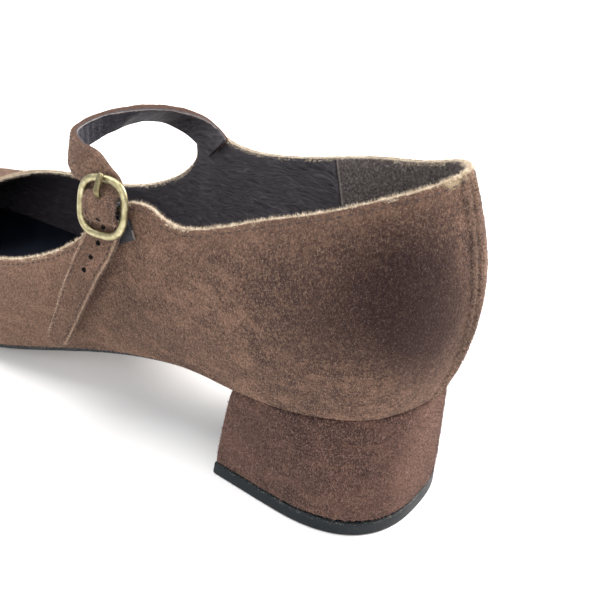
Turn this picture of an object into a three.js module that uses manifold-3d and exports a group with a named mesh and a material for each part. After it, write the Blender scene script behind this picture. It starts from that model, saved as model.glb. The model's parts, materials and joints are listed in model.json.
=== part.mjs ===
// A block-heeled strap shoe for the left foot, as an assembly of separate pieces, in millimetres.
// X runs from the heel to the toe, Y to the outer side of the foot and Z up. The floor is at Z 0. In the tables X is
// counted from behind the heel and Y from the middle of the seat.
import * as THREE from "three";
import { mergeVertices } from "three/addons/utils/BufferGeometryUtils.js";
import Module from "manifold-3d";

const wasm = await Module();
wasm.setup();

// Overall sizes of the last
const shoeLength = 260;
const ballWidth = 86;
const heelHeight = 38.5; // floor to the seat, at the back
const seatDrop = 6.5; // how much lower the seat is at the front of the heel
const counterHeight = 61; // seat to topline, at the back seam
const toeSpring = 8.5;
const treadStart = 180; // the flat of the sole under the ball
const treadEnd = 197;

// Thicknesses, and the space left between two pieces that meet
const wallThickness = 2;
const soleThickness = 3.2;
const insoleThickness = 2.4;
const meetingGap = 0.3;

// How the wall of the upper swells between the seat and the topline
const bellyDepth = 9.6; // at the back seam, out from the feather line
const shoulderShare = 0.75; // how much of the swell is left near the topline
const wallRise = 0.36; // upright length of a plain wall's curve, as a share of its height
const toeBoxRise = 0.69; // what a column that lies down over the toes adds to that
const vampReach = 0.48; // how far the vamp runs flat out from the throat, as a share of its span

// Heel block and its lift
const seatBack = 6.3; // the seat's back edge, in front of the fullest part of the counter
const breastTop = 53; // the breast of the heel, at the seat and at the floor
const breastFloor = 58;
const seatWidth = 54.5;
const seatRoundness = 2.1; // exponent of the seat's back curve
const seatBackRadius = 32;
const liftThickness = 4.3;
const liftWidth = 55.4;
const liftBack = 5.7;
const liftRoundness = 2.55; // exponent of the lift's back curve
const liftBackRadius = 32;
const breastHollow = 2.2;

// Outsole
const soleInset = 2.4; // how far the sole's edge stands in from the feather line
const shankThickness = 1.8;

// Strap, buckle and pin
const strapWidth = 9.5;
const strapThickness = 2;
const tailTipLength = 6; // the rounded end of the strap
const tailTaper = 0.74; // width of the strap at that end, as a share of its full width
const buckleWidth = 15.8;
const buckleLength = 16.7;
const buckleBand = 1.9; // width of the buckle's rim, seen from the front
const buckleDepth = 1.8;
const buckleSquareness = 2.7; // exponent of the buckle's oval
const barRadius = 0.7;
const barRecess = 1.3; // how far the centre bar sits behind the middle of the rim
const pinWidth = 1.8;
const pinThickness = 1;
const pinRoom = 0.25; // clearance of the pin in its hole
const holeRadius = 1.1;
const firstHole = -2.6; // along the strap, down from the centre bar
const holePitch = 5;
const holeCount = 6;
const chapeWidth = 8.4;
const chapeThickness = 0.9;

// Fineness of the meshes
const stepsPerSection = 3;
const wallSteps = 11;
const strapSteps = 3;

const half = ballWidth / 2;
const featherAtBall = soleThickness + meetingGap;
const strapStand = wallThickness + meetingGap + strapThickness / 2; // the strap's middle from a wall that it lies on

// Columns of the upper, from the back seam along one side to the toe. Each one stands on the feather line and ends at
// the topline. along: share of the shoe's length. across: share of half the ball's width. rise: height of the topline
// over the seat line, as a share of the counter's height. belly: share of the belly's depth.
//   foot along, foot across, top along, top across, rise, belly
const backSections = [
  [0.0465, 0.381, 0.05, 0.25, 0.965, 0.95],
  [0.077, 0.531, 0.075, 0.43, 0.94, 0.8],
];
const outerSections = [
  [0.132, 0.63, 0.123, 0.54, 0.875, 0.62],
  [0.192, 0.637, 0.18, 0.597, 0.81, 0.55],
  [0.246, 0.618, 0.235, 0.63, 0.728, 0.5],
  [0.277, 0.61, 0.268, 0.648, 0.705, 0.48],
  [0.296, 0.61, 0.288, 0.66, 0.728, 0.48],
  [0.319, 0.614, 0.313, 0.675, 0.795, 0.48],
  [0.354, 0.621, 0.354, 0.715, 0.79, 0.5],
  [0.388, 0.637, 0.387, 0.768, 0.665, 0.5],
  [0.431, 0.67, 0.427, 0.79, 0.587, 0.5],
  [0.481, 0.733, 0.477, 0.814, 0.54, 0.5],
  [0.546, 0.82, 0.535, 0.828, 0.524, 0.5],
  [0.615, 0.886, 0.6, 0.8, 0.54, 0.5],
  [0.692, 0.9, 0.662, 0.71, 0.542, 0.5],
  [0.775, 0.84, 0.715, 0.56, 0.536, 0.5],
  [0.86, 0.69, 0.752, 0.36, 0.536, 0.5],
  [0.94, 0.43, 0.775, 0.13, 0.536, 0.5],
];
const toeSection = [0.992, -0.12, 0.785, -0.116, 0.539, 0.5];
const innerSections = [
  [0.132, -0.625, 0.12, -0.53, 0.89, 0.62],
  [0.185, -0.626, 0.173, -0.572, 0.869, 0.55],
  [0.238, -0.6, 0.235, -0.628, 0.813, 0.5],
  [0.292, -0.577, 0.296, -0.66, 0.782, 0.48],
  [0.338, -0.574, 0.354, -0.663, 0.805, 0.45],
  [0.369, -0.581, 0.39, -0.645, 0.87, 0.42],
  [0.388, -0.59, 0.42, -0.63, 0.965, 0.4],
  [0.404, -0.6, 0.44, -0.64, 0.95, 0.4],
  [0.418, -0.612, 0.445, -0.655, 0.87, 0.4],
  [0.436, -0.628, 0.449, -0.667, 0.775, 0.42],
  [0.468, -0.673, 0.468, -0.681, 0.71, 0.44],
  [0.515, -0.751, 0.505, -0.705, 0.655, 0.46],
  [0.577, -0.837, 0.558, -0.726, 0.615, 0.5],
  [0.654, -0.919, 0.615, -0.737, 0.597, 0.5],
  [0.742, -0.94, 0.677, -0.705, 0.603, 0.5],
  [0.83, -0.87, 0.723, -0.628, 0.598, 0.5],
  [0.905, -0.72, 0.755, -0.5, 0.588, 0.5],
  [0.963, -0.48, 0.777, -0.32, 0.562, 0.5],
];

// Middle line of the strap, from the inner side over the instep to the buckle, and the direction of its width there.
// along, across and rise are shares as for the upper. stand: share of the strap's stand, to the outer side.
//   along, across, stand, rise, width x, width y, width z
const strapRise = [
  [0.3985, -0.6302, 1, 0.8397, -0.52, -0.15, 0.85],
  [0.4092, -0.6256, 1, 0.8936, -0.56, -0.15, 0.82],
  [0.4208, -0.5907, 1, 0.9522, -0.64, -0.12, 0.75],
  [0.4315, -0.4916, 0.8, 1.0145, -0.74, -0.02, 0.66],
  [0.4392, -0.3291, 0.5, 1.0711, -0.82, 0.02, 0.55],
  [0.4415, -0.1316, 0.2, 1.1038, -0.8, 0, 0.58],
  [0.4438, 0.0884, 0, 1.1135, -0.66, 0.05, 0.75],
  [0.4458, 0.27, 0.3, 1.1048, -0.44, 0.08, 0.9],
  [0.4419, 0.4091, 0.7, 1.0797, -0.26, 0.08, 0.96],
  [0.4315, 0.5063, 1.1, 1.0571, -0.22, 0.02, 0.97],
  [0.4108, 0.574, 1.4, 1.0269, -0.22, -0.05, 0.97],
  [0.3938, 0.6166, 1.45, 1.0022, -0.3, -0.1, 0.95],
];

// The strap in the buckle. down from the centre bar: share of the buckle's length. out from the middle of the rim: share
// of the strap's thickness. to the toe: share of the buckle's width. turn of the strap against the buckle, in degrees.
const strapInBuckle = [
  [-0.515, -1.325, 0.3924, 48],
  [-0.3892, -1.1, 0.1962, 36],
  [-0.2784, -0.925, 0.0506, 10],
  [-0.1796, 0.15, 0, 2],
  [-0.0958, 0.875, -0.0253, 0],
  [0, 1, -0.0316, 0],
  [0.0958, 0.875, -0.0316, 0],
  [0.1796, 0.15, -0.019, 0],
  [0.2575, -0.925, 0, 0],
  [0.3832, -1.1, 0.0316, -6],
  [0.5269, -1.125, 0.0759, -14],
];

// The loose tail, on the outside of the wall, as in the table for the strap.
const strapTail = [
  [0.3562, 0.7166, 1.45, 0.6174, -0.93, -0.2, -0.28],
  [0.3662, 0.7376, 1.45, 0.5512, -0.93, -0.24, -0.28],
  [0.3792, 0.7585, 1.45, 0.4467, -0.91, -0.26, -0.32],
  [0.3946, 0.7655, 1.45, 0.3328, -0.89, -0.24, -0.38],
  [0.4085, 0.7631, 1.45, 0.2369, -0.88, -0.22, -0.42],
  [0.4185, 0.7608, 1.45, 0.1687, -0.88, -0.2, -0.43],
];

// The pin's path, and that of the leather piece that holds the buckle: down and to the toe as above, and out as a share
// of the buckle's depth.
const pinPath = [
  [0.012, -0.0556],
  [-0.0719, 0.5],
  [-0.1497, 1.2222],
  [-0.2455, 1.4167],
  [-0.3653, 1.1667],
  [-0.4611, 0.8889],
  [-0.5329, 0.6667],
];
const chapePath = [
  [0.012, -1.5111, 0],
  [-0.0539, -1.3333, 0],
  [-0.0838, -0.7222, 0],
  [-0.0569, -0.1944, 0],
  [0, 0.0111, 0],
  [0.0569, -0.2222, 0],
  [0.0928, -0.8889, -0.019],
  [0.1437, -1.6111, -0.0506],
  [0.2335, -2.1111, -0.1013],
  [0.3892, -2.1944, -0.1835],
  [0.5509, -2.25, -0.2658],
];

// Height over the floor of the line where upper and bottom meet: seat, shank, tread and toe spring.
function featherHeight(x) {
  const seatSlope = -seatDrop / (breastTop - seatBack);
  if (x < breastTop) return heelHeight + seatSlope * (x - seatBack);
  const breastHeight = heelHeight - seatDrop;
  if (x < treadStart) {
    const u = (x - breastTop) / (treadStart - breastTop);
    const fall = u * u * (3 - 2 * u);
    const lead = u * (1 - u) * (1 - u) * (treadStart - breastTop);
    return breastHeight + (featherAtBall - breastHeight) * fall + (seatSlope / 3) * lead;
  }
  if (x < treadEnd) return featherAtBall;
  const v = (x - treadEnd) / (shoeLength - treadEnd);
  return featherAtBall + toeSpring * v * v;
}

// The closed loops of the upper: rows become points of the feather line and of the topline.
function loopRows() {
  const mirrored = backSections.map(([fa, fy, ta, ty, rise, belly]) => [fa, -fy, ta, -ty, rise, belly]);
  const back = [seatBack / shoeLength, 0, 9.5 / shoeLength, 0, 0.985, 1];
  return [
    back,
    ...backSections,
    ...outerSections,
    toeSection,
    ...innerSections.toReversed(),
    ...mirrored.toReversed(),
  ];
}
const rows = loopRows();
const footLoop = new THREE.CatmullRomCurve3(
  rows.map(([along, across]) => {
    const x = along * shoeLength;
    return new THREE.Vector3(x, across * half, featherHeight(x));
  }),
  true,
  "centripetal",
);
const topLoop = new THREE.CatmullRomCurve3(
  rows.map(([, , along, across, rise]) => {
    const x = along * shoeLength;
    return new THREE.Vector3(x, across * half, featherHeight(x) + rise * counterHeight);
  }),
  true,
  "centripetal",
);
const bellyLoop = new THREE.CatmullRomCurve3(
  rows.map((row, i) => new THREE.Vector3(i, row[5], 0)),
  true,
  "catmullrom",
);

// A point of the feather line, moved in by inset, and the level direction that faces out there.
function footPoint(s, inset = 0) {
  const p = footLoop.getPoint(s);
  const along = footLoop.getPoint((s + 0.002) % 1).sub(footLoop.getPoint((s + 0.998) % 1));
  const out = new THREE.Vector3(along.y, -along.x, 0).normalize().negate();
  p.addScaledVector(out, -inset);
  p.z = featherHeight(p.x);
  return { p, out };
}

// The outside of the upper: s runs round the shoe, t up from the feather line to the topline.
function upperPoint(s, t) {
  const { p: foot, out } = footPoint(s);
  const top = topLoop.getPoint(s);
  const height = top.z - foot.z;
  const span = Math.max(0, new THREE.Vector3().subVectors(foot, top).setZ(0).dot(out));
  const lying = span / (span + height);
  const belly = bellyLoop.getPoint(s).y * bellyDepth;
  const low = foot.clone().addScaledVector(out, belly);
  low.z += height * (wallRise + toeBoxRise * lying);
  const high = top.clone().addScaledVector(out, belly * shoulderShare * (1 - lying) + span * vampReach);
  high.z -= height * wallRise * (1 - lying / 2);
  return new THREE.CubicBezierCurve3(foot, low, high, top).getPoint(t);
}

function upperNormal(s, t) {
  const ds = 0.002;
  const dt = 0.01;
  const along = upperPoint((s + ds) % 1, t).sub(upperPoint((s + 1 - ds) % 1, t));
  const up = upperPoint(s, Math.min(1, t + dt)).sub(upperPoint(s, Math.max(0, t - dt)));
  return new THREE.Vector3().crossVectors(up, along).normalize();
}

// A closed body from rings of points that all have the same count. A tube body closes on itself, from the last ring to
// the first. Any other body is capped with a fan at each end.
function bodyOfRings(rings, closed = false) {
  const n = rings[0].length;
  const points = rings.flat().flatMap((p) => [p.x, p.y, p.z]);
  const faces = [];
  const bands = closed ? rings.length : rings.length - 1;
  for (let i = 0; i < bands; i++) {
    const a = i * n;
    const b = ((i + 1) % rings.length) * n;
    for (let j = 0; j < n; j++) {
      const k = (j + 1) % n;
      faces.push(a + j, a + k, b + k, a + j, b + k, b + j);
    }
  }
  if (!closed) {
    const last = (rings.length - 1) * n;
    for (let j = 1; j < n - 1; j++) {
      faces.push(0, j + 1, j);
      faces.push(last, last + j, last + j + 1);
    }
  }
  const geometry = new THREE.BufferGeometry();
  geometry.setAttribute("position", new THREE.Float32BufferAttribute(points, 3));
  geometry.setIndex(faces);
  return facingOut(geometry);
}

// The same geometry with its faces turned out, if they all point in.
function facingOut(geometry) {
  const p = geometry.getAttribute("position");
  const index = geometry.index.array;
  const [a, b, c] = [new THREE.Vector3(), new THREE.Vector3(), new THREE.Vector3()];
  let volume = 0;
  for (let i = 0; i < index.length; i += 3) {
    a.fromBufferAttribute(p, index[i]);
    b.fromBufferAttribute(p, index[i + 1]);
    c.fromBufferAttribute(p, index[i + 2]);
    volume += a.dot(b.cross(c));
  }
  if (volume < 0) {
    for (let i = 0; i < index.length; i += 3) [index[i], index[i + 1]] = [index[i + 1], index[i]];
  }
  return geometry;
}

// Geometry to a manifold-3d solid and back.
function solidOf(geometry) {
  const bare = new THREE.BufferGeometry();
  bare.setAttribute("position", geometry.getAttribute("position"));
  if (geometry.index) bare.setIndex(geometry.index);
  const merged = mergeVertices(bare, 1e-4);
  const vertProperties = new Float32Array(merged.getAttribute("position").array);
  return new wasm.Manifold(new wasm.Mesh({ numProp: 3, vertProperties, triVerts: new Uint32Array(merged.index.array) }));
}

function geometryOf(solid) {
  const mesh = solid.getMesh();
  const geometry = new THREE.BufferGeometry();
  geometry.setAttribute("position", new THREE.BufferAttribute(new Float32Array(mesh.vertProperties), 3));
  geometry.setIndex(new THREE.BufferAttribute(new Uint32Array(mesh.triVerts), 1));
  return geometry;
}

// One hollow wall, open at the collar and throat and open underneath.
function upperGeometry() {
  const columns = rows.length * stepsPerSection;
  const rings = [];
  for (let i = 0; i < columns; i++) {
    const s = i / columns;
    const ring = [];
    const inner = [];
    for (let j = 0; j <= wallSteps; j++) {
      const t = j / wallSteps;
      const outside = upperPoint(s, t);
      ring.push(outside);
      inner.push(outside.clone().addScaledVector(upperNormal(s, t), -wallThickness));
    }
    inner[0] = footPoint(s, wallThickness).p;
    const edge = ring.at(-1).clone().add(inner.at(-1)).multiplyScalar(0.5);
    const lift = ring.at(-1).clone().sub(ring.at(-2)).normalize();
    ring.push(edge.addScaledVector(lift, wallThickness / 4));
    rings.push([...ring, ...inner.reverse()]);
  }
  return bodyOfRings(rings, true);
}

// The feather line's outline moved in by inset, and its two edges at x: [inner, outer].
function outlineOf(inset) {
  const samples = 480;
  return Array.from({ length: samples }, (_, i) => footPoint(i / samples, inset).p);
}

function edgesAt(outline, x) {
  const found = [Infinity, -Infinity];
  for (let i = 0; i < outline.length; i++) {
    const before = outline[i];
    const now = outline[(i + 1) % outline.length];
    if ((before.x - x) * (now.x - x) <= 0 && before.x !== now.x) {
      const y = before.y + ((now.y - before.y) * (x - before.x)) / (now.x - before.x);
      found[0] = Math.min(found[0], y);
      found[1] = Math.max(found[1], y);
    }
  }
  return found;
}

// A plate that fills the outline from one x to another, with its long edges eased. Both heights are functions of x.
function plateGeometry(outline, from, to, stations, top, bottom) {
  const ease = 0.55;
  const rings = [];
  for (let i = 0; i <= stations; i++) {
    const u = i / stations;
    const x = from + (to - from) * (1 - (1 - u) ** 1.6);
    const [inner, outer] = edgesAt(outline, x);
    const [high, low] = [top(x), bottom(x)];
    const c = Math.min(ease, (outer - inner) / 4, (high - low) / 3);
    const section = [
      [inner + c, low],
      [outer - c, low],
      [outer, low + c],
      [outer, high - c],
      [outer - c, high],
      [inner + c, high],
      [inner, high - c],
      [inner, low + c],
    ];
    rings.push(section.map(([y, z]) => new THREE.Vector3(x, y, z)));
  }
  return bodyOfRings(rings);
}

function outsoleGeometry() {
  const outline = outlineOf(soleInset);
  const from = breastTop + 0.8;
  const to = Math.max(...outline.map((p) => p.x)) - 0.1;
  const top = (x) => featherHeight(x) - meetingGap;
  const bottom = (x) => {
    const v = Math.min(1, Math.max(0, (x - from) / (treadStart - from)));
    const thickness = shankThickness + (soleThickness - shankThickness) * v * v * (3 - 2 * v);
    return top(x) - thickness;
  };
  return plateGeometry(outline, from, to, 40, top, bottom);
}

function insoleGeometry() {
  const outline = outlineOf(wallThickness + meetingGap * 2);
  const from = Math.min(...outline.map((p) => p.x));
  const to = Math.max(...outline.map((p) => p.x)) - 0.1;
  const front = plateGeometry(outline, breastTop, to, 34, (x) => featherHeight(x) + insoleThickness, featherHeight);
  const back = plateGeometry(outline, breastTop, from + 0.1, 13, (x) => featherHeight(x) + insoleThickness, featherHeight);
  return geometryOf(solidOf(front).add(solidOf(back)));
}

// The heel's outline: a rounded back and a breast that is slightly hollow. level is 0 at the floor and 1 at the seat.
function heelOutline(level, inset = 0) {
  const mix = THREE.MathUtils.lerp;
  const back = mix(liftBack, seatBack, level) + inset;
  const breast = mix(breastFloor, breastTop, level) - inset;
  const width = mix(liftWidth, seatWidth, level) / 2 - inset;
  const radius = mix(liftBackRadius, seatBackRadius, level);
  const power = 2 / mix(liftRoundness, seatRoundness, level);
  const curve = 16;
  const side = [];
  for (let i = 1; i <= curve; i++) {
    const angle = (Math.PI / 2) * (i / curve);
    side.push([back + radius * (1 - Math.cos(angle) ** power), width * Math.sin(angle) ** power]);
  }
  side.push([mix(back + radius, breast, 0.5), width]);
  side.push([breast - 0.5, width]);
  const across = [0.95, 0.7, 0.36, 0];
  for (const share of across) side.push([breast - breastHollow * (1 - share * share), width * share]);
  const other = side.slice(0, -1).toReversed().map(([x, y]) => [x, -y]);
  return [[back, 0], ...side, ...other];
}

function heelGeometry() {
  const bottom = liftThickness + meetingGap / 3;
  const levels = [0, 0.06, 0.3, 0.6, 0.86, 0.97, 1];
  const rings = levels.map((share) => {
    const eased = share === 0 || share === 1 ? 0.5 : 0;
    return heelOutline(THREE.MathUtils.lerp(liftThickness / heelHeight, 1, share), eased).map(([x, y]) => {
      const top = featherHeight(Math.min(x, breastTop)) - meetingGap;
      return new THREE.Vector3(x, y, THREE.MathUtils.lerp(bottom, top, share));
    });
  });
  return bodyOfRings(rings);
}

function liftGeometry() {
  const levels = [
    [0, 0.4],
    [0.4, 0],
    [liftThickness - 0.3, 0],
    [liftThickness, 0.3],
  ];
  return bodyOfRings(
    levels.map(([z, inset]) => heelOutline(z / heelHeight, inset).map(([x, y]) => new THREE.Vector3(x, y, z))),
  );
}

// A band along a path: sections are made of a middle, a direction of width and a share of the full width.
function bandGeometry(path, widths, shares, width, thickness) {
  const rings = path.map((middle, i) => {
    const ahead = path[Math.min(i + 1, path.length - 1)];
    const behind = path[Math.max(i - 1, 0)];
    const along = new THREE.Vector3().subVectors(ahead, behind).normalize();
    const across = widths[i].clone().addScaledVector(along, -widths[i].dot(along)).normalize();
    const out = new THREE.Vector3().crossVectors(along, across);
    const w = (width / 2) * shares[i];
    const h = thickness / 2;
    const c = Math.min(0.5, h * 0.6, w / 2);
    const section = [
      [-w, -h + c],
      [-w + c, -h],
      [w - c, -h],
      [w, -h + c],
      [w, h - c],
      [w - c, h],
      [-w + c, h],
      [-w, h - c],
    ];
    return section.map(([a, b]) => middle.clone().addScaledVector(across, a).addScaledVector(out, b));
  });
  return bodyOfRings(rings);
}

// A row of shares to a point over the wall of the upper.
function overWall([along, across, stand, rise]) {
  const x = along * shoeLength;
  return new THREE.Vector3(x, across * half + stand * strapStand, featherHeight(x) + rise * counterHeight);
}

// The buckle's own axes: X to the toe, Y down along the strap and Z out from the shoe.
const buckleMiddle = overWall([0.3473, 0.7041, 1.45, 0.8102]);
const buckleOut = new THREE.Vector3(-0.16, 0.965, 0.2).normalize();
const buckleDown = new THREE.Vector3(-0.07, 0.191, -0.979);
buckleDown.addScaledVector(buckleOut, -buckleDown.dot(buckleOut)).normalize();
const buckleFore = new THREE.Vector3().crossVectors(buckleDown, buckleOut);
const buckleFrame = new THREE.Matrix4().makeBasis(buckleFore, buckleDown, buckleOut).setPosition(buckleMiddle);

function inBuckle(down, out, fore = 0) {
  return new THREE.Vector3(fore * buckleWidth, down * buckleLength, out * buckleDepth);
}

// The strap's middle line and width directions, worked out at even steps along the whole length.
function strapLine() {
  const toWidths = (table) => table.map((row) => new THREE.Vector3(row[4], row[5], row[6]));
  const middle = strapInBuckle.map(([down, out, fore]) => {
    return inBuckle(down, (out * strapThickness) / buckleDepth, fore).applyMatrix4(buckleFrame);
  });
  const points = [...strapRise.map(overWall), ...middle, ...strapTail.map(overWall)];
  const turned = strapInBuckle.map((row) => {
    const turn = THREE.MathUtils.degToRad(row[3]);
    return buckleFore.clone().multiplyScalar(-Math.cos(turn)).addScaledVector(buckleDown, -Math.sin(turn));
  });
  const widths = [...toWidths(strapRise), ...turned, ...toWidths(strapTail)];
  const line = new THREE.CatmullRomCurve3(points, false, "centripetal");
  const steps = (points.length - 1) * strapSteps;
  const path = [];
  const across = [];
  for (let i = 0; i <= steps; i++) {
    path.push(line.getPoint(i / steps));
    const [k, f] = [Math.min(widths.length - 2, Math.floor(i / strapSteps)), i / strapSteps];
    across.push(widths[k].clone().lerp(widths[k + 1], f - k).normalize());
  }
  return { path, across };
}

function strapGeometry(pin) {
  const { path, across } = strapLine();
  const end = path.at(-1);
  const lead = new THREE.Vector3().subVectors(end, path.at(-2)).normalize();
  const tailStart = (strapRise.length + strapInBuckle.length) * strapSteps;
  const shares = path.map((_, i) => {
    return THREE.MathUtils.lerp(1, tailTaper, Math.max(0, i - tailStart) / (path.length - 1 - tailStart));
  });
  const tip = [0.35, 0.62, 0.82, 0.94, 1];
  for (const share of tip) {
    path.push(end.clone().addScaledVector(lead, tailTipLength * share));
    across.push(across.at(-1));
    shares.push(tailTaper * Math.sqrt(Math.max(0.012, 1 - share ** 2.2)));
  }
  let solid = solidOf(bandGeometry(path, across, shares, strapWidth, strapThickness));
  for (let i = 1; i < holeCount; i++) solid = solid.subtract(holeSolid(path, across, firstHole + i * holePitch));
  return geometryOf(solid.subtract(pin));
}

// A round punch through the strap, at a distance down the strap from the centre bar.
function holeSolid(path, across, distance) {
  let nearest = 0;
  for (let i = 1; i < path.length; i++) {
    if (path[i].distanceTo(buckleMiddle) < path[nearest].distanceTo(buckleMiddle)) nearest = i;
  }
  let i = nearest;
  let left = distance;
  while (left > path[i].distanceTo(path[i + 1])) {
    left -= path[i].distanceTo(path[i + 1]);
    i += 1;
  }
  const along = new THREE.Vector3().subVectors(path[i + 1], path[i]).normalize();
  const out = new THREE.Vector3().crossVectors(along, across[i]).normalize();
  const place = path[i].clone().addScaledVector(along, left);
  const geometry = new THREE.CylinderGeometry(holeRadius, holeRadius, strapThickness * 2.5, 12);
  const turn = new THREE.Quaternion().setFromUnitVectors(new THREE.Vector3(0, 1, 0), out);
  geometry.applyQuaternion(turn).translate(place.x, place.y, place.z);
  return solidOf(geometry);
}

// The buckle: an oval rim of rounded section, and a bar across its middle.
function buckleGeometry() {
  const steps = 32;
  const [a, b] = [(buckleWidth - buckleBand) / 2, (buckleLength - buckleBand) / 2];
  const power = 2 / buckleSquareness;
  const signed = (value) => Math.sign(value) * Math.abs(value) ** power;
  const middle = (i) => {
    const angle = (2 * Math.PI * i) / steps;
    return new THREE.Vector3(a * signed(Math.cos(angle)), b * signed(Math.sin(angle)), 0);
  };
  const rings = Array.from({ length: steps }, (_, i) => {
    const along = new THREE.Vector3().subVectors(middle(i + 1), middle(i - 1)).normalize();
    const across = new THREE.Vector3(along.y, -along.x, 0);
    return Array.from({ length: 8 }, (_, k) => {
      const angle = (2 * Math.PI * k) / 8;
      const p = middle(i).addScaledVector(across, (buckleBand / 2) * Math.cos(angle));
      p.z = (buckleDepth / 2) * Math.sin(angle);
      return p;
    });
  });
  const bar = new THREE.CylinderGeometry(barRadius, barRadius, buckleWidth - buckleBand, 12);
  bar.rotateZ(Math.PI / 2).translate(0, 0, -barRecess);
  const seats = [-1, 1].map((side) => {
    const seat = new THREE.CylinderGeometry(barRadius, barRadius * 1.15, barRecess, 12);
    seat.rotateX(-Math.PI / 2).translate((side * (buckleWidth - buckleBand * 1.25)) / 2, 0, -barRecess / 2);
    return solidOf(seat);
  });
  const solid = seats.reduce((whole, seat) => whole.add(seat), solidOf(bodyOfRings(rings, true)).add(solidOf(bar)));
  return geometryOf(solid).applyMatrix4(buckleFrame);
}

// The pin, with its eye round the bar. room makes it larger on every side, to cut its way through the strap.
function pinSolid(room) {
  const points = pinPath.map(([down, out]) => inBuckle(down, out));
  points[0].y += room * 2;
  const curve = new THREE.CatmullRomCurve3(points, false, "centripetal");
  const steps = 18;
  const path = Array.from({ length: steps + 1 }, (_, i) => curve.getPoint(i / steps));
  const widths = path.map(() => new THREE.Vector3(-1, 0, 0));
  const shares = path.map((_, i) => (i > steps - 3 && room === 0 ? 1 - 0.22 * (i - steps + 3) : 1));
  const tongue = bandGeometry(path, widths, shares, pinWidth + room * 2, pinThickness + room * 2);
  const inside = barRadius + 0.12;
  const eye = new THREE.CylinderGeometry(inside + 0.75 + room, inside + 0.75 + room, pinWidth + room * 2, 18);
  const bore = new THREE.CylinderGeometry(inside, inside, pinWidth * 3, 18);
  for (const round of [eye, bore]) round.rotateZ(Math.PI / 2).translate(0, 0, -barRecess);
  const whole = solidOf(tongue).add(solidOf(eye));
  return room === 0 ? whole.subtract(solidOf(bore)) : whole;
}

// The leather piece that is folded round the bar and runs down to the wall.
function chapeGeometry(pin) {
  const points = chapePath.map(([down, out, fore]) => inBuckle(down, out, fore));
  const curve = new THREE.CatmullRomCurve3(points, false, "centripetal");
  const steps = 30;
  const path = Array.from({ length: steps + 1 }, (_, i) => curve.getPoint(i / steps));
  const widths = path.map(() => new THREE.Vector3(-1, 0, 0));
  const band = bandGeometry(path, widths, path.map(() => 1), chapeWidth, chapeThickness);
  return geometryOf(solidOf(band).subtract(pin)).applyMatrix4(buckleFrame);
}

const suede = new THREE.MeshStandardMaterial({ color: 0x7a5a41, roughness: 0.95 });
const heelSuede = new THREE.MeshStandardMaterial({ color: 0x6a4a40, roughness: 0.95 });
const soleRubber = new THREE.MeshStandardMaterial({ color: 0x1b2328, roughness: 0.6 });
const lining = new THREE.MeshStandardMaterial({ color: 0x4c3d35, roughness: 0.7 });
const brass = new THREE.MeshStandardMaterial({ color: 0x8f7c4d, roughness: 0.38, metalness: 0.9 });
const pinBrass = new THREE.MeshStandardMaterial({ color: 0x5f5a41, roughness: 0.45, metalness: 0.85 });

const shoe = new THREE.Group();

function add(name, geometry, material) {
  const mesh = new THREE.Mesh(geometry, material);
  mesh.name = name;
  shoe.add(mesh);
}

const pinCut = pinSolid(pinRoom);
const pinCutPlaced = solidOf(geometryOf(pinCut).applyMatrix4(buckleFrame));

add("upper", upperGeometry(), suede);
add("outsole", outsoleGeometry(), soleRubber);
add("insole", insoleGeometry(), lining);
add("heel_block", heelGeometry(), heelSuede);
add("top_lift", liftGeometry(), soleRubber);
add("strap", strapGeometry(pinCutPlaced), suede);
add("buckle_frame", buckleGeometry(), brass);
add("buckle_pin", geometryOf(pinSolid(0)).applyMatrix4(buckleFrame), pinBrass);
add("chape", chapeGeometry(pinCut), lining);

// The origin is the middle of the shoe's outline, on the floor.
const outline = new THREE.Box3().setFromObject(shoe);
const middle = outline.getCenter(new THREE.Vector3());
for (const mesh of shoe.children) mesh.geometry.translate(-middle.x, -middle.y, -outline.min.z);

export default shoe;
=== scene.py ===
import json
import math
import random

import bmesh
import bpy
from mathutils import Matrix, Vector
from mathutils.bvhtree import BVHTree
from mathutils.kdtree import KDTree

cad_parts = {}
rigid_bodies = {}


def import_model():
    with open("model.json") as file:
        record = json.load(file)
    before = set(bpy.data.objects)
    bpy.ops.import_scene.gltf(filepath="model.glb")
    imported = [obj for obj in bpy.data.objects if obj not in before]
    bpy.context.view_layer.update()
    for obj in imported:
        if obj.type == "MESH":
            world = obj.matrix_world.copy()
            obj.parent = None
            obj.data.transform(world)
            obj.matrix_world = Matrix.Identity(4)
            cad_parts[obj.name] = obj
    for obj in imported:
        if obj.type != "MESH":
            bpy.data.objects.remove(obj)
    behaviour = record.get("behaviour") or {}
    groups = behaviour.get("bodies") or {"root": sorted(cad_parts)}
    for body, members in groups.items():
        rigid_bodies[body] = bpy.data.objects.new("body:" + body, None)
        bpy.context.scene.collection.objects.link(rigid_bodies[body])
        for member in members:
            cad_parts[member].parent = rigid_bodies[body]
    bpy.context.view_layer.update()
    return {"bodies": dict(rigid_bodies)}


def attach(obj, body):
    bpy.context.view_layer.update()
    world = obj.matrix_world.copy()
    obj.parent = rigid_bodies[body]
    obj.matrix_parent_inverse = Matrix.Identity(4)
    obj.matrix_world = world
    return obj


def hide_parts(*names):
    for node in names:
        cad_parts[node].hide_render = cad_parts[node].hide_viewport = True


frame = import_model()
body = list(frame["bodies"])[0]
mm = 0.001


def at(x, y, z):  # millimetres, x from behind the heel and y from the middle of the seat
    return Vector(((x - 129.65) * mm, (y + 0.65) * mm, z * mm))


def tint(red, green, blue):  # a colour as the eye sees it, each part from 0 to 255
    return tuple(((c / 255 + 0.055) / 1.055) ** 2.4 for c in (red, green, blue)) + (1,)


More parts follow.
